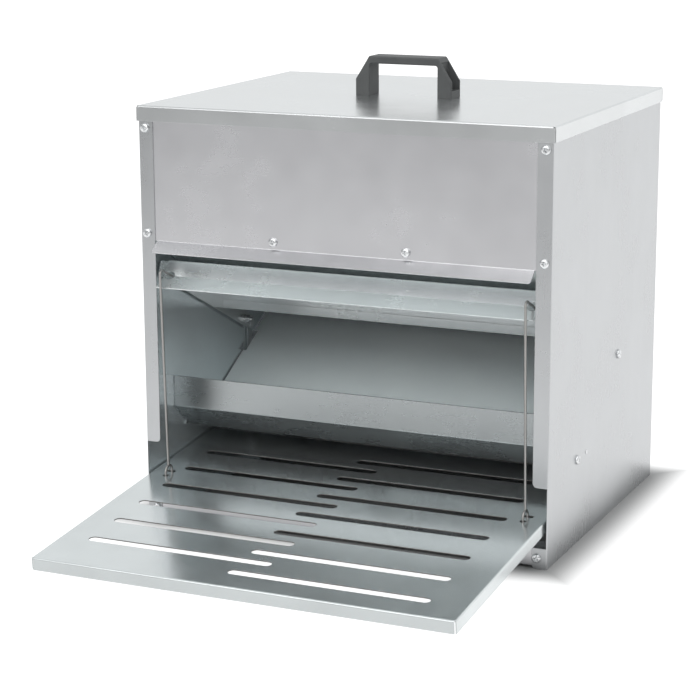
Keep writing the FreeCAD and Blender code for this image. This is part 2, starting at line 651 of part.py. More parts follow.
# ---- Links and hold-open rods ---------------------------------------------------------------
def pull_link(side):
    """Flat link from the treadle's arm up to the tail of the cover's arm."""
    low = treadle_point(TREADLE_LINK, 0)
    high = cover_point(-LINK_ARM, 0)
    inner = side * (HALF_W - SHEET - 2.6)
    outer = side * (HALF_W - SHEET - 0.6)
    length = math.hypot(high[0] - low[0], high[1] - low[1])
    bar = box(inner, outer, low[0] - 5, low[0] + 5, low[1], low[1] + length)
    start = Vector(inner, *low)
    across = X_AXIS * side * 2.0
    top = start + Vector(0, 0, length)
    link = fuse([bar, rod(5.0, start, start + across), rod(6.2, top, top + across)])
    eyes = [screw_hole(start, X_AXIS, PIN_D / 2 + RUNNING), screw_hole(top, X_AXIS, PIN_D / 2 + LINK_PLAY)]
    link = cut(link, eyes)
    lean = math.degrees(math.atan2(high[0] - low[0], high[1] - low[1]))
    link.rotate(Vector(0, *low), X_AXIS, -lean)
    return link


def ring_centre():
    """Y, Z of the ring at the foot of a hold-open rod."""
    above = TREADLE_TOP - SHEET / 2 + ROD_RING_RISE
    return treadle_point(RING_FORWARD, above)


def hold_open_rod(side):
    """Wire rod: ring through the treadle's two holes, hook through the cover's hole."""
    x = side * ROD_X
    centre_y, centre_z = ring_centre()
    fold_y, fold_z = cover_point(COVER_FRONT + COVER_FOLD[0], COVER_FOLD[1])
    lip_y = cover_point(COVER_FRONT + COVER_LIP[0], COVER_LIP[1])[0]
    top_y = lip_y - HOOK_CLEAR
    fall = math.tan(math.radians(HOOK_TILT))
    shoulder = Vector(x, top_y, fold_z + HOOK_RISE + (fold_y - top_y) * fall)
    tip = Vector(x, fold_y + HOOK_REACH, fold_z + HOOK_RISE - HOOK_REACH * fall)
    foot = Vector(x, centre_y, centre_z)
    rise = (shoulder - foot).normalize()
    start = foot + rise * ROD_RING_R
    path = Part.Wire(rounded_line([start, shoulder, tip], [0, 4.0, 0]))
    section = Part.Wire(Part.Circle(start, rise, ROD_D / 2).toShape())
    wire = path.makePipeShell([section], True, False)
    ring = Part.makeTorus(ROD_RING_R, ROD_D / 2, foot, X_AXIS)
    return wire.fuse(ring)


# ---- Fasteners ------------------------------------------------------------------------------
def screws_on(places, y, direction, length):
    """Screws whose heads sit on the plane y."""
    return group([pan_screw(Vector(x, y, z), direction, length) for x, z in places])


def nuts_on(places, y, direction):
    """Nuts that stand on the plane y."""
    return group([hex_nut(Vector(x, y, z), direction) for x, z in places])


def fasteners():
    """Every group of identical screws, nuts and rivets, by node name."""
    front = Y_AXIS * -1
    nodes = {}
    nodes["front_flange_screws"] = screws_on(FRONT_SCREWS, 0, front, 9.0)
    nodes["front_flange_nuts"] = group([hex_nut(Vector(x, (2 if z > 300 else 3) * SHEET, z), Y_AXIS)
                                        for x, z in FRONT_SCREWS])
    nodes["baffle_screws"] = screws_on(BAFFLE_SCREWS, SHEET, front, 8.0)
    nodes["baffle_nuts"] = nuts_on(BAFFLE_SCREWS, 3 * SHEET, Y_AXIS)
    nodes["base_tab_screws"] = screws_on(BASE_SCREWS, 0, front, 8.0)
    nodes["base_tab_nuts"] = nuts_on(BASE_SCREWS, 2 * SHEET, Y_AXIS)
    nodes["back_panel_screws"] = screws_on(BACK_SCREWS, DEPTH, Y_AXIS, 8.0)
    nodes["back_panel_nuts"] = nuts_on(BACK_SCREWS, DEPTH - 2 * SHEET, front)
    nodes["slope_screws"] = screws_on(CHUTE_SCREWS, DEPTH - SHEET, Y_AXIS, 8.0)
    nodes["slope_nuts"] = nuts_on(CHUTE_SCREWS, DEPTH - 3 * SHEET, front)
    nodes["bracket_screws"] = screws_on(BRACKET_SCREWS, DEPTH - SHEET, Y_AXIS, 10.0)
    nodes["bracket_nuts"] = nuts_on(BRACKET_SCREWS, DEPTH - 2 * SHEET - 3.0, front)
    nodes["trough_screws"] = group(both_sides(pan_screw(Vector(HALF_W, *TROUGH_SCREW), X_AXIS, 9.0)))
    trough_nut = hex_nut(Vector(HALF_W - SHEET - 1.2, *TROUGH_SCREW), X_AXIS * -1)
    nodes["trough_nuts"] = group(both_sides(trough_nut))
    ear_rivet = rivet(Vector(HALF_W, *EAR_RIVET), X_AXIS, 4.5, 0.7, 3.2, 3.2)
    nodes["trough_ear_rivets"] = group(both_sides(ear_rivet))
    toe = [rivet(Vector(x, TOE_RIVET_Y, CHUTE_TOE[1]), Z_AXIS, 6.0, 1.0, 3.2, 2.0) for x in TOE_RIVETS]
    nodes["slope_toe_rivets"] = group(toe)
    below = Z_AXIS * -1
    feet = [Vector(side * HANDLE_SCREW_X, HANDLE_Y, BODY_TOP) for side in (-1, 1)]
    nodes["handle_washers"] = group([washer(foot, below, 12.0, 1.2) for foot in feet])
    nodes["handle_screws"] = group([pan_screw(foot + below * 1.2, below, 13.0) for foot in feet])
    return nodes


# ---- Assembly -------------------------------------------------------------------------------
def build():
    """All nodes by name, with Y measured from the body's front face."""
    panel = side_panel()
    nodes = {
        "side_panel_right": panel,
        "side_panel_left": mirror_x(panel),
        "front_panel": front_panel(),
        "back_panel": back_panel(),
        "front_base_rail": base_rail(),
        "lid": lid(),
        "lid_handle": lid_handle(),
        "throat_baffle": throat_baffle(),
        "feed_slope": feed_slope(),
        "feed_trough": feed_trough(),
        "cover_flap": cover_flap(),
        "cover_pivot_bolts": cover_bolts(),
        "cover_pivot_washers": cover_washers(),
        "cover_pivot_nuts": cover_nuts(),
        "cover_link_pins": cover_link_pins(),
        "treadle_plate": treadle_plate(),
        "treadle_arm_rivets": treadle_arm_rivets(),
        "treadle_link_pins": treadle_link_pins(),
        "treadle_pivot_rod": treadle_pivot_rod(),
        "pivot_rod_clips": pivot_rod_clips(),
    }
    for name, side in SIDES:
        nodes["treadle_arm_" + name] = treadle_arm(side)
        nodes["pivot_bracket_" + name] = pivot_bracket(side)
        nodes["pull_link_" + name] = pull_link(side)
        nodes["hold_open_rod_" + name] = hold_open_rod(side)
    nodes.update(fasteners())
    return nodes


def export(nodes):
    """Write one STEP file per node, with the origin under the middle of the feeder."""
    os.makedirs("parts", exist_ok=True)
    low = min(shape.BoundBox.YMin for shape in nodes.values())
    high = max(shape.BoundBox.YMax for shape in nodes.values())
    front_y = -(low + high) / 2
    print("front face of the body at Y", round(front_y, 3))
    for name, shape in nodes.items():
        placed = shape.copy()
        placed.translate(Vector(0, front_y, 0))
        placed.exportStep("parts/%s.step" % name)


export(build())
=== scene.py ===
"""Looks of a galvanised treadle feeder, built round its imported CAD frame.

Units are metres.  Row frame: +Z up, -Y front.
"""

import json
import math

import bmesh
import bpy
from mathutils import Matrix, Vector

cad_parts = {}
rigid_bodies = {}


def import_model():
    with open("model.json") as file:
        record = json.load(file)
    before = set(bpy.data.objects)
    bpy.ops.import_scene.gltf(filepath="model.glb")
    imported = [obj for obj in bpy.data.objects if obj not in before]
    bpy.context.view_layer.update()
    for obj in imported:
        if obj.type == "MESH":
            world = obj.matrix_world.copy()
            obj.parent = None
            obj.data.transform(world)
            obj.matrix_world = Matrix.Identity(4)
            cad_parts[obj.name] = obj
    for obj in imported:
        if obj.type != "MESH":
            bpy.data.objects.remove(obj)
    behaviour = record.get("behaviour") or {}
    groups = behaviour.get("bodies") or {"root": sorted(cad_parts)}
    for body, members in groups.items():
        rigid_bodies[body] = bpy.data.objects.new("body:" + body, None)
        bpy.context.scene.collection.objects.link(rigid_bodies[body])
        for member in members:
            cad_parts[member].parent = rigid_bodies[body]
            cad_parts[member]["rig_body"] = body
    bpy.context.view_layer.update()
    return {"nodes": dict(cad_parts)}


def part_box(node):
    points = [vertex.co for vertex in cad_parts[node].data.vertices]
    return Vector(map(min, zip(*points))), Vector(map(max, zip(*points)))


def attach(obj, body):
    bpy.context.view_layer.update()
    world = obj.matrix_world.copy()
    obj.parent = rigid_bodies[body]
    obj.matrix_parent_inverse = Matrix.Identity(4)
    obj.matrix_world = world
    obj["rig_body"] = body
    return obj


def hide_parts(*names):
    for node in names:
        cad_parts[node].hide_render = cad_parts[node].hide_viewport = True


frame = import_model()
MM = 0.001
scene = bpy.context.scene
nodes = frame["nodes"]

# ---------------------------------------------------------------- camera
FOCAL = 2148.3               # in pixels of the square picture
IMAGE_SIDE = 700
SENSOR = 36.0                # millimetres
CLIP = (0.05, 60.0)
CAMERA_PLACE = Vector((0.8176, -1.8539, 0.6569))
CAMERA_YAW = 0.4219          # radians, like the two below
CAMERA_PITCH = -0.2324
CAMERA_ROLL = 0.0046


def make_camera():
    """Camera a little above the lid, to the right of the front, with no shift and no depth of field."""
    yaw = Matrix.Rotation(CAMERA_YAW, 3, "Z")
    pitch = Matrix.Rotation(math.pi / 2 + CAMERA_PITCH, 3, "X")
    roll = Matrix.Rotation(-CAMERA_ROLL, 3, "Z")
    data = bpy.data.cameras.new("photo_camera")
    data.sensor_width = SENSOR
    data.lens = FOCAL / IMAGE_SIDE * SENSOR
    data.clip_start, data.clip_end = CLIP
    camera = bpy.data.objects.new("photo_camera", data)
    camera.matrix_world = Matrix.Translation(CAMERA_PLACE) @ (yaw @ pitch @ roll).to_4x4()
    scene.collection.objects.link(camera)
    scene.camera = camera


# ---------------------------------------------------------------- node helper
class Graph:
    """Short way of writing a node tree: each call adds one node and returns an output socket."""

    def __init__(self, tree):
        self.tree = tree
        tree.nodes.clear()

    def add(self, kind, inputs=None, out=0, **settings):
        node = self.tree.nodes.new(kind)
        for key, value in settings.items():
            setattr(node, key, value)
        for key, value in (inputs or {}).items():
            if isinstance(value, bpy.types.NodeSocket):
                self.tree.links.new(value, node.inputs[key])
            else:
                node.inputs[key].default_value = value
        return node.outputs[out] if len(node.outputs) else node

    def math(self, operation, a, b=0.0, c=0.0, clamp=False):
        return self.add("ShaderNodeMath", {0: a, 1: b, 2: c}, operation=operation, use_clamp=clamp)

    def remap(self, value, low, high, to_low=0.0, to_high=1.0, smooth=False):
        kind = "SMOOTHSTEP" if smooth else "LINEAR"
        inputs = {"Value": value, "From Min": low, "From Max": high, "To Min": to_low, "To Max": to_high}
        return self.add("ShaderNodeMapRange", inputs, interpolation_type=kind)

    def noise(self, vector, scale, detail=3.0, roughness=0.55, distortion=0.0):
        inputs = {"Vector": vector, "Scale": scale, "Detail": detail, "Roughness": roughness,
                  "Distortion": distortion}
        return self.add("ShaderNodeTexNoise", inputs)

    def stretch(self, vector, scale):
        return self.add("ShaderNodeMapping", {"Vector": vector, "Scale": scale})

    def blend(self, factor, a, b):
        node = self.tree.nodes.new("ShaderNodeMix")
        node.data_type = "RGBA"
        for slot, value in ((0, factor), (6, a), (7, b)):
            if isinstance(value, bpy.types.NodeSocket):
                self.tree.links.new(value, node.inputs[slot])
            else:
                node.inputs[slot].default_value = value
        return node.outputs[2]

    def bump(self, height, strength, distance, normal=None):
        inputs = {"Height": height, "Strength": strength, "Distance": distance}
        if normal is not None:
            inputs["Normal"] = normal
        return self.add("ShaderNodeBump", inputs)


def new_material(name):
    material = bpy.data.materials.new(name)
    material.use_nodes = True
    return material, Graph(material.node_tree)


def rgba(r, g, b):
    return (r, g, b, 1.0)


# ---------------------------------------------------------------- materials
def galvanised(name, tint, rough=0.26, grain="X", spangle=0.5, wear=1.0, metal=1.0,
               inside=None, sheared=None, front=1.0):
    """Satin zinc-coated sheet.

    It has fine spangle and rolling streaks along one axis in the gloss, cloudy patches, hairline
    scratches and edges rubbed brighter, partly a painted highlight.  inside, sheared and front change
    some of its faces.
    """
    material, g = new_material(name)
    place = g.add("ShaderNodeTexCoord", out=3)
    along = {"X": (4.0, 260.0, 260.0), "Y": (260.0, 4.0, 260.0), "Z": (260.0, 260.0, 4.0)}[grain]
    wobble = g.add("ShaderNodeTexNoise", {"Vector": place, "Scale": 60.0, "Detail": 2.0}, out=1)
    warped = g.add("ShaderNodeVectorMath", {0: place, 1: g.add(
        "ShaderNodeVectorMath", {0: wobble, "Scale": 0.004}, operation="SCALE")}, operation="ADD")
    crystals = g.add("ShaderNodeTexVoronoi", {"Vector": warped, "Scale": 210.0, "Randomness": 1.0}, out=1)
    crystal = g.add("ShaderNodeSeparateColor", {0: crystals}, out=0)
    fine = g.noise(place, 900.0, 3.0, 0.6)
    cloud = g.noise(place, 11.0, 1.0, 0.5, 0.3)
    patch = g.noise(place, 38.0, 1.0, 0.5)
    streak = g.noise(g.stretch(place, along), 1.0, 4.0, 0.65)
    # hairline scratches: very long thin noise cells, only their peaks
    lines = []
    for turn in (0.25, -0.9):
        turned = g.add("ShaderNodeMapping", {"Vector": place, "Rotation": (turn, turn, turn),
                                             "Scale": (8.0, 700.0, 700.0)})
        lines.append(g.remap(g.noise(turned, 1.0, 1.0), 0.74, 0.80))
    scratch = g.math("MAXIMUM", lines[0], lines[1])
    # edges: how far a small bevel would turn the surface
    soft_normal = g.add("ShaderNodeBevel", {"Radius": 0.0006}, samples=4)
    flat_normal = g.add("ShaderNodeNewGeometry", out=1)
    turn = g.add("ShaderNodeVectorMath", {0: soft_normal, 1: flat_normal}, out=1, operation="DOT_PRODUCT")
    edge = g.remap(turn, 0.985, 0.86)
    edge = g.math("MULTIPLY", edge, g.remap(g.noise(place, 140.0, 3.0), 0.35, 0.62, 0.35, 1.0))
    dark = rgba(*(c * 0.95 for c in tint))
    light = rgba(*(min(1.0, c * 1.04) for c in tint))
    tone = g.math("ADD", g.math("MULTIPLY", g.remap(cloud, 0.32, 0.68, smooth=True), 0.6),
                  g.math("MULTIPLY", g.remap(patch, 0.3, 0.7), 0.4))
    colour = g.blend(tone, dark, light)
    colour = g.blend(g.math("MULTIPLY", scratch, 0.16 * wear), colour, rgba(0.80, 0.81, 0.82))
    # painted highlight and wear: faces along the bevel get a paler colour, partly rubbed zinc, partly a
    # painted highlight
    colour = g.blend(g.math("MULTIPLY", edge, 0.40 * wear), colour, rgba(0.86, 0.87, 0.88))
    dull = g.math("ADD", g.math("MULTIPLY", g.remap(cloud, 0.3, 0.7), 0.045),
                  g.math("MULTIPLY", crystal, 0.04 * spangle))
    dull = g.math("ADD", dull, g.math("MULTIPLY", g.remap(streak, 0.3, 0.7), 0.02))
    dull = g.math("ADD", dull, g.math("MULTIPLY", g.remap(patch, 0.3, 0.7), 0.025))
    rough_now = g.math("ADD", dull, rough - 0.05)
    rough_now = g.math("SUBTRACT", rough_now, g.math("MULTIPLY", edge, 0.08 * wear), clamp=True)
    # one height in millimetres: sheet sag, rolling lines, zinc grain and crystal steps
    height = g.math("MULTIPLY", g.noise(place, 4.5, 1.0), 1.2)
    for layer, deep in ((streak, 0.0006 * wear), (fine, 0.0010 * wear), (crystal, 0.0004 * spangle)):
        height = g.math("MULTIPLY_ADD", layer, deep, height)
    relief = g.bump(height, 1.0, MM, soft_normal)
    if front < 1.0:
        # painted shade: upright faces turned to the front are darker than the top, down to front times
        # their colour
        toward = g.add("ShaderNodeSeparateXYZ", {0: g.add("ShaderNodeTexCoord", out=1)}, out=1)
        shade = g.remap(toward, -0.4, -0.9, 1.0, front)
        colour = g.add("ShaderNodeVectorMath", {0: colour, "Scale": shade}, operation="SCALE")
    if sheared:
        # walls of the punched slots and holes: torn bare steel, darker and rougher than the coated faces
        half_x, front_y, rear_y = sheared
        facing = g.add("ShaderNodeSeparateXYZ", {0: g.add("ShaderNodeTexCoord", out=1)}, out=2)
        wall = g.math("LESS_THAN", g.math("ABSOLUTE", facing), 0.5)
        x, y = (g.add("ShaderNodeSeparateXYZ", {0: place}, out=axis) for axis in (0, 1))
        for test in (g.math("LESS_THAN", g.math("ABSOLUTE", x), half_x),
                     g.math("GREATER_THAN", y, front_y), g.math("LESS_THAN", y, rear_y)):
            wall = g.math("MULTIPLY", wall, test)
        colour = g.blend(wall, colour, g.blend(patch, rgba(0.10, 0.095, 0.09), rgba(0.17, 0.165, 0.16)))
        rough_now = g.math("ADD", rough_now, g.math("MULTIPLY", wall, 0.3))
    if inside:
        # painted light: the faces turned to the feed space get a paler, less metallic and glossier
        # finish, so that they read brighter
        half_x, front_y = inside
        x = g.add("ShaderNodeSeparateXYZ", {0: place}, out=0)
        within_x = g.math("LESS_THAN", g.math("ABSOLUTE", x), half_x)
        behind_y = g.math("GREATER_THAN", g.add("ShaderNodeSeparateXYZ", {0: place}, out=1), front_y)
        inner = g.math("MULTIPLY", within_x, behind_y)
        metal = g.remap(inner, 0.0, 1.0, 1.0, 0.75)
        rough_now = g.math("SUBTRACT", rough_now, g.math("MULTIPLY", inner, 0.05))
        colour = g.blend(inner, colour, g.blend(tone, rgba(0.74, 0.79, 0.81), rgba(0.82, 0.88, 0.90)))
    shader = g.add("ShaderNodeBsdfPrincipled", {
        "Base Color": colour, "Metallic": metal, "Roughness": rough_now, "Normal": relief})
    g.add("ShaderNodeOutputMaterial", {"Surface": shader})
    return material


def bright_zinc(name):
    """Bright zinc plate on screws, nuts and rivets: shiny, with fine turning marks and dull spots."""
    material, g = new_material(name)
    place = g.add("ShaderNodeTexCoord", out=3)
    cloud = g.noise(place, 260.0, 3.0)
    fine = g.noise(place, 1900.0, 2.0)
    soft_normal = g.add("ShaderNodeBevel", {"Radius": 0.0003}, samples=4)
    colour = g.blend(g.remap(cloud, 0.35, 0.65), rgba(0.62, 0.63, 0.64), rgba(0.83, 0.84, 0.85))
    rough = g.remap(cloud, 0.3, 0.7, 0.14, 0.30)
    relief = g.bump(fine, 0.12, 0.0001, soft_normal)
    shader = g.add("ShaderNodeBsdfPrincipled", {
        "Base Color": colour, "Metallic": 1.0, "Roughness": rough, "Normal": relief})
    g.add("ShaderNodeOutputMaterial", {"Surface": shader})
    return material


def moulded_plastic(name):
    """Charcoal moulded plastic with a fine spark-eroded texture and rubbed, paler edges."""
    material, g = new_material(name)
    place = g.add("ShaderNodeTexCoord", out=3)
    cloud = g.noise(place, 45.0, 4.0)
    pits = g.noise(place, 1500.0, 2.0, 0.5)
    grain = g.add("ShaderNodeTexVoronoi", {"Vector": place, "Scale": 1100.0})
    soft_normal = g.add("ShaderNodeBevel", {"Radius": 0.0008}, samples=4)
    flat_normal = g.add("ShaderNodeNewGeometry", out=1)
    turn = g.add("ShaderNodeVectorMath", {0: soft_normal, 1: flat_normal}, out=1, operation="DOT_PRODUCT")
    worn = g.remap(g.noise(place, 220.0), 0.4, 0.6, 0.3, 1.0)
    edge = g.math("MULTIPLY", g.remap(turn, 0.99, 0.86), worn)
    colour = g.blend(g.remap(cloud, 0.3, 0.7), rgba(0.058, 0.061, 0.062), rgba(0.082, 0.086, 0.086))
    colour = g.blend(g.math("MULTIPLY", edge, 0.5), colour, rgba(0.20, 0.205, 0.20))
    rough = g.math("ADD", g.remap(cloud, 0.3, 0.7, 0.46, 0.58), g.math("MULTIPLY", pits, 0.08))
    relief = g.bump(grain, 0.25, 0.0002, soft_normal)
    relief = g.bump(pits, 0.25, 0.0001, relief)
    shader = g.add("ShaderNodeBsdfPrincipled", {
        "Base Color": colour, "Roughness": rough, "Normal": relief})
    g.add("ShaderNodeOutputMaterial", {"Surface": shader})
    return material


side_low, side_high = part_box("side_panel_right")
treadle_low, treadle_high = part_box("treadle_plate")
# half the width of the feed space, and the Y that it starts behind
FEED_SPACE = (side_high.x - 0.4 * MM, side_low.y + 1.5 * MM)
# half the width of the area with slots and holes, and its first and last Y
SLOTTED_AREA = (treadle_high.x - 9 * MM, treadle_low.y + 4 * MM, treadle_high.y - 6 * MM)

FINISH = {
    "casing_sheet": galvanised("casing_sheet", (0.59, 0.588, 0.604), 0.25, "X", 0.3, 0.7),
    "side_sheet": galvanised("side_sheet", (0.53, 0.54, 0.55), 0.29, "Z", 0.15, 0.4, front=0.9,
                             inside=FEED_SPACE),
    # painted light: the baffle and feed slope get a near-white, barely metallic zinc so that the feed
    # space reads brighter
    "inner_sheet": galvanised("inner_sheet", (0.90, 0.965, 0.975), 0.32, "X", 0.25, 0.6, 0.1),
    "lid_sheet": galvanised("lid_sheet", (0.70, 0.715, 0.72), 0.24, "X", 0.4, front=0.8),
    "treadle_sheet": galvanised("treadle_sheet", (0.68, 0.715, 0.72), 0.19, "X", 0.4, 0.8, 0.9,
                                front=0.76, sheared=SLOTTED_AREA),
    "cover_sheet": galvanised("cover_sheet", (0.72, 0.745, 0.75), 0.26, "X", 0.2, 0.6, 0.75),
    # painted shade: the trough gets a much darker zinc than the other sheets, standing in for the shade
    # under the hood
    "trough_sheet": galvanised("trough_sheet", (0.36, 0.38, 0.385), 0.28, "X", 0.2, 0.5, 0.9),
    "bar_steel": galvanised("bar_steel", (0.60, 0.62, 0.63), 0.32, "Y", 0.4),
    "spring_wire": galvanised("spring_wire", (0.36, 0.35, 0.34), 0.34, "Z", 0.3),
    "zinc_hardware": bright_zinc("zinc_hardware"),
    "handle_plastic": moulded_plastic("handle_plastic"),
}

SLOT_OF = {
    "front_panel": "casing_sheet", "back_panel": "casing_sheet", "front_base_rail": "casing_sheet",
    "side_panel_left": "side_sheet", "side_panel_right": "side_sheet",
    "lid": "lid_sheet", "lid_handle": "handle_plastic",
    "throat_baffle": "inner_sheet", "feed_slope": "inner_sheet", "feed_trough": "trough_sheet",
    "cover_flap": "cover_sheet", "treadle_plate": "treadle_sheet",
    "treadle_arm_left": "bar_steel", "treadle_arm_right": "bar_steel",
    "pivot_bracket_left": "casing_sheet", "pivot_bracket_right": "casing_sheet",
    "pull_link_left": "bar_steel", "pull_link_right": "bar_steel", "treadle_pivot_rod": "bar_steel",
    "hold_open_rod_left": "spring_wire", "hold_open_rod_right": "spring_wire",
}


def dress(piece, finish):
    piece.data.materials.clear()
    piece.data.materials.append(FINISH[finish])


for node_name, piece in nodes.items():
    dress(piece, SLOT_OF.get(node_name, "zinc_hardware"))


# ---------------------------------------------------------------- screws and nuts
# millimetres, the same sizes as the CAD fasteners
AROUND = 48                  # steps in one turn
RIM_STEPS = 6
HEAD_D = 9.2
HEAD_H = 2.8
RIM_R = 1.9
CROWN_DROP = 0.18            # the head's top is this much lower at its rim
SHANK_R = 2.5
THREAD_PITCH = 0.8
THREAD_DEPTH = 0.32
THREAD_STEPS = 4             # rings in one pitch
THREAD_START = 0.4           # plain shank before and after the thread
RECESS_HALF = 2.3
RECESS_W = RECESS_HALF * math.tan(math.radians(15))
RECESS_DEPTH = 1.5
RECESS_TAPER = 0.62          # size of the recess at its floor
EASE = 0.1                   # small rounding of an edge
NUT_AF = 8.0
NUT_FLAT = 0.94              # size of a nut's flat end, as a share of its width
NUT_CHAMFER = 0.98           # the corners' chamfer starts at this share
COUNTERSINK = 0.35


def solids_of(node):
    """The vertices of each separate solid in a CAD node; vertices at one place count as one."""
    mesh = nodes[node].data
    to_scene = nodes[node].matrix_world
    places, index = {}, []
    for vertex in mesh.vertices:
        key = tuple(round(c * 1e5) for c in vertex.co)
        index.append(places.setdefault(key, len(places)))
    root = list(range(len(places)))

    def find(i):
        while root[i] != i:
            root[i] = root[root[i]]
            i = root[i]
        return i

    for polygon in mesh.polygons:
        first = find(index[polygon.vertices[0]])
        for other in polygon.vertices[1:]:
            root[find(index[other])] = first
    found = {}
    for vertex, i in zip(mesh.vertices, index):
        found.setdefault(find(i), []).append(to_scene @ vertex.co)
    return [found[key] for key in sorted(found)]


def box_of(points):
    low = Vector([min(p[i] for p in points) for i in range(3)])
    high = Vector([max(p[i] for p in points) for i in range(3)])
    return low, high


def frame_at(place, direction, turn=0.0):
    """Matrix from a part drawn upright in millimetres to its place in the scene."""
    lean = direction.to_track_quat("Z", "Y").to_matrix().to_4x4()
    return Matrix.Translation(place) @ lean @ Matrix.Rotation(turn, 4, "Z") @ Matrix.Scale(MM, 4)


def skin(bm, matrix, rings, closed_start, closed_end):
    """Quads between rings that give radius and height per angle; an end with a height is closed."""
    loops = []
    for ring in rings:
        loop = []
        for step in range(AROUND):
            angle = 2 * math.pi * step / AROUND
            radius, height = ring(angle)
            point = Vector((radius * math.cos(angle), radius * math.sin(angle), height))
            loop.append(bm.verts.new(matrix @ point))
        loops.append(loop)
    for one, two in zip(loops, loops[1:]):
        for step in range(AROUND):
            after = (step + 1) % AROUND
            bm.faces.new((one[step], two[step], two[after], one[after]))
    for loop, height, flip in ((loops[0], closed_start, True), (loops[-1], closed_end, False)):
        if height is None:
            continue
        middle = bm.verts.new(matrix @ Vector((0, 0, height)))
        for step in range(AROUND):
            pair = (loop[step], loop[(step + 1) % AROUND])
            bm.faces.new((middle, pair[0], pair[1]) if flip else (middle, pair[1], pair[0]))
    return loops


def cross_edge(angle):
    """Distance from the middle to the edge of the plus-shaped recess."""
    folded = angle % (math.pi / 2)
    folded = min(folded, math.pi / 2 - folded)
    if folded <= math.atan2(RECESS_W, RECESS_HALF) + 1e-9:
        return RECESS_HALF / math.cos(folded)
    return RECESS_W / math.sin(folded)


def crown(radius):
    """Height of the pan head's top at a distance from its axis."""
    flat = HEAD_D / 2 - RIM_R
    drop = CROWN_DROP * (radius / (HEAD_D / 2)) ** 2
    if radius <= flat:
        return HEAD_H - drop
    return HEAD_H - drop - RIM_R + math.sqrt(max(0.0, RIM_R ** 2 - (radius - flat) ** 2))


def add_screw(bm, matrix, length):
    """Cross-recess pan head and a rolled thread."""
    rings = [lambda a: (RECESS_TAPER * cross_edge(a), HEAD_H - RECESS_DEPTH),
             lambda a: (cross_edge(a), crown(cross_edge(a)) - EASE),
             lambda a: (cross_edge(a) + EASE, crown(cross_edge(a)))]
    flat = HEAD_D / 2 - RIM_R
    first = 0.15                 # the rim's first ring is this far outside the flat
    rings.append(lambda a: ((cross_edge(a) + flat + first) / 2, crown((cross_edge(a) + flat) / 2)))
    for step in range(RIM_STEPS + 1):
        radius = flat + first + (RIM_R - first) * math.sin(math.pi / 2 * step / RIM_STEPS)
        rings.append(lambda a, r=radius: (r, crown(r)))
    low_rim = crown(HEAD_D / 2)
    rings += [lambda a: (HEAD_D / 2, low_rim * 0.5), lambda a: (HEAD_D / 2, 0.12),
              lambda a: (HEAD_D / 2 - 0.15, 0.0), lambda a: (SHANK_R + EASE, 0.0),
              lambda a: (SHANK_R, -EASE)]

    def thread(height):
        def ring(angle):
            phase = height / THREAD_PITCH + angle / (2 * math.pi)
            fade = min(1.0, (-height - THREAD_START) / 0.6, (length + height) / 0.5)
            groove = THREAD_DEPTH * max(0.0, fade) * (0.5 - 0.5 * math.cos(2 * math.pi * phase))
            return SHANK_R - groove, height
        return ring

    run = length - 2 * THREAD_START
    count = int(run / (THREAD_PITCH / THREAD_STEPS))
    rings += [thread(-THREAD_START - run * step / count) for step in range(count + 1)]
    rings += [lambda a: (SHANK_R - 0.35, -length)]
    skin(bm, matrix, rings, HEAD_H - RECESS_DEPTH - EASE, -length)


def add_nut(bm, matrix, height):
    """Hexagon nut with chamfered corners and a countersunk bore."""
    def hexagon(angle):
        return NUT_AF / 2 / math.cos((angle % (math.pi / 3)) - math.pi / 6)

    def corner_drop(angle):
        return max(0.0, hexagon(angle) - NUT_AF / 2 * NUT_CHAMFER) * math.tan(math.radians(30))

    bore = SHANK_R + 0.02
    mouth = bore + COUNTERSINK
    face = NUT_AF / 2 * NUT_FLAT
    rings = [lambda a: (bore, COUNTERSINK), lambda a: (mouth, 0.0), lambda a: (face, 0.0),
             lambda a: (hexagon(a), corner_drop(a)), lambda a: (hexagon(a), height / 2),
             lambda a: (hexagon(a), height - corner_drop(a)), lambda a: (face, height),
             lambda a: (mouth, height), lambda a: (bore, height - COUNTERSINK)]
    loops = skin(bm, matrix, rings, None, None)
    for step in range(AROUND):
        after = (step + 1) % AROUND
        bm.faces.new((loops[-1][step], loops[0][step], loops[0][after], loops[-1][after]))


def screw_frames(points):
    """Where one CAD screw sits: the point under its head, its direction and its shank's length."""
    low, high = box_of(points)
    size, middle = high - low, (low + high) / 2
    axis = max(range(3), key=lambda i: abs(size[i] - HEAD_D * MM))
    ends = {}
    for sign, end in ((-1, low[axis]), (1, high[axis])):
        near = [p for p in points if abs(p[axis] - end) < (HEAD_H + 0.05) * MM]
        ends[sign] = max((p - middle).length_squared - (p[axis] - middle[axis]) ** 2 for p in near)
    sign = max(ends, key=ends.get)
    direction = Vector([sign if i == axis else 0 for i in range(3)])
    place = middle.copy()
    place[axis] = (high if sign > 0 else low)[axis] - sign * HEAD_H * MM
    return place, direction, size[axis] / MM - HEAD_H


def nut_frames(points):
    """Where one CAD nut sits: its base point, direction, height and the turn of its corners."""
    low, high = box_of(points)
    size, middle = high - low, (low + high) / 2
    axis = min(range(3), key=lambda i: size[i])
    direction = Vector([1 if i == axis else 0 for i in range(3)])
    place = middle.copy()
    place[axis] = low[axis]
    local = frame_at(place, direction).inverted()
    corner = max((local @ p for p in points), key=lambda p: round(math.hypot(p.x, p.y), 3))
    return place, direction, size[axis] / MM, math.atan2(corner.y, corner.x)


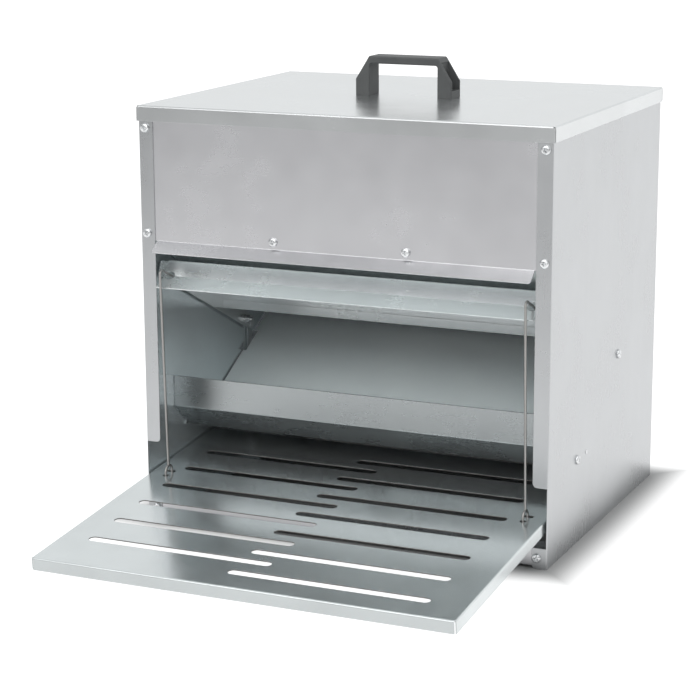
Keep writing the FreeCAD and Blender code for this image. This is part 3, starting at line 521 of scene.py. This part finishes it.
def make_hardware():
    """Detailed screws and nuts in place of the plain CAD ones."""
    for node in sorted(nodes):
        if not node.endswith(("_screws", "_bolts", "_nuts")):
            continue
        bm = bmesh.new()
        for points in solids_of(node):
            if node.endswith("_nuts"):
                place, direction, height, turn = nut_frames(points)
                add_nut(bm, frame_at(place, direction, turn), height)
            else:
                place, direction, length = screw_frames(points)
                # each screw was tightened to its own angle
                twist = math.radians((place.x * 7919 + place.z * 104729) % 90)
                add_screw(bm, frame_at(place, direction, twist), length)
        bmesh.ops.recalc_face_normals(bm, faces=bm.faces)
        for face in bm.faces:
            face.smooth = True
        mesh = bpy.data.meshes.new(node + "_detail")
        bm.to_mesh(mesh)
        bm.free()
        mesh.set_sharp_from_angle(angle=math.radians(32))
        piece = bpy.data.objects.new(node + "_detail", mesh)
        scene.collection.objects.link(piece)
        dress(piece, "zinc_hardware")
        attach(piece, nodes[node]["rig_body"])
        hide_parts(node)


make_hardware()


# ---------------------------------------------------------------- stage, lights
FLOOR_HALF = 7.0
FLOOR_GLOW = 0.78
SEEN_GLOW = 1.18             # the camera sees the glow this many times brighter
GLOW_FADE = 0.05             # the glow starts at the casing and is full this far from it
GLOW_FRONT = (-1.8, -0.45)   # between these Y it falls towards the front
GLOW_FRONT_SHARE = 0.40


def make_floor():
    """Plain pale floor, a fine even grain so that it is not a flat colour.  It glows, a painted light,
    except under and close round the casing, a painted shadow.
    """
    mesh = bpy.data.meshes.new("stage_floor")
    bm = bmesh.new()
    bmesh.ops.create_grid(bm, x_segments=8, y_segments=8, size=FLOOR_HALF)
    bm.to_mesh(mesh)
    bm.free()
    floor = bpy.data.objects.new("stage_floor", mesh)
    scene.collection.objects.link(floor)
    material, g = new_material("stage_floor")
    place = g.add("ShaderNodeTexCoord", out=3)
    colour = g.blend(g.noise(place, 1.6, 3.0), rgba(0.30, 0.30, 0.30), rgba(0.32, 0.32, 0.32))
    low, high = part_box("side_panel_left")[0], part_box("side_panel_right")[1]
    middle = (low + high) / 2
    x, y = (g.add("ShaderNodeSeparateXYZ", {0: place}, out=axis) for axis in (0, 1))
    off_x = g.math("ABSOLUTE", g.math("SUBTRACT", x, middle.x))
    off_y = g.math("ABSOLUTE", g.math("SUBTRACT", y, middle.y))
    past_side, past_end = g.math("SUBTRACT", off_x, high.x), g.math("SUBTRACT", off_y, high.y - middle.y)
    # painted shadow: no glow under the casing, fading in over GLOW_FADE round it, paints a contact shadow
    beyond = g.math("MAXIMUM", past_side, past_end)
    glow = g.remap(beyond, 0.0, GLOW_FADE, 0.0, FLOOR_GLOW, smooth=True)
    glow = g.math("MULTIPLY", glow, g.remap(y, *GLOW_FRONT, GLOW_FRONT_SHARE, 1.0, smooth=True))
    # seen directly the floor is a little brighter, so that the casing's shadow stays faint
    seen = g.add("ShaderNodeLightPath", out=0)
    glow = g.math("MULTIPLY", glow, g.remap(seen, 0.0, 1.0, 1.0, SEEN_GLOW))
    shader = g.add("ShaderNodeBsdfPrincipled", {
        "Base Color": colour, "Roughness": 0.7,
        "Emission Color": rgba(1.0, 1.0, 1.0), "Emission Strength": glow})
    g.add("ShaderNodeOutputMaterial", {"Surface": shader})
    mesh.materials.append(material)


def soft_light(name, place, aim, size, power, colour=(1.0, 1.0, 1.0)):
    data = bpy.data.lights.new(name, "AREA")
    data.shape = "RECTANGLE"
    data.size, data.size_y = size
    data.energy = power
    data.color = colour
    light = bpy.data.objects.new(name, data)
    light.location = place
    light.rotation_mode = "QUATERNION"
    light.rotation_quaternion = (Vector(aim) - Vector(place)).to_track_quat("-Z", "Y")
    scene.collection.objects.link(light)


def make_world():
    """Studio surroundings: bright behind and above, dimmer in front; the camera sees plain white."""
    world = bpy.data.worlds.new("studio")
    world.use_nodes = True
    scene.world = world
    g = Graph(world.node_tree)
    direction = g.add("ShaderNodeTexCoord", out=0)
    x = g.add("ShaderNodeSeparateXYZ", {0: direction}, out=0)
    y = g.add("ShaderNodeSeparateXYZ", {0: direction}, out=1)
    z = g.add("ShaderNodeSeparateXYZ", {0: direction}, out=2)
    behind = g.remap(y, -0.55, 0.65, 0.35, 0.95, smooth=True)
    right = g.remap(x, -0.2, 0.9, 0.0, 0.12, smooth=True)
    above = g.remap(z, 0.30, 0.75, smooth=True)
    level = g.math("ADD", behind, right)
    level = g.math("ADD", level, g.math("MULTIPLY", above, g.math("SUBTRACT", 0.9, level)))
    lit = g.add("ShaderNodeBackground", {"Color": rgba(0.98, 0.995, 1.0), "Strength": level})
    plain = g.add("ShaderNodeBackground", {"Color": rgba(1.0, 1.0, 1.0), "Strength": 1.0})
    seen = g.add("ShaderNodeLightPath", out=0)
    both = g.add("ShaderNodeMixShader", {0: seen, 1: lit, 2: plain})
    g.add("ShaderNodeOutputWorld", {"Surface": both})


make_camera()
make_floor()
make_world()
soft_light("key_above", (0.3, -0.6, 2.4), (0.0, 0.0, 0.1), (1.8, 1.4), 10.0, (1.0, 0.995, 0.985))
soft_light("fill_front", (-0.2, -2.4, 1.55), (0.0, 0.0, 0.15), (3.2, 1.8), 35.0)
scene.view_settings.view_transform = "Standard"
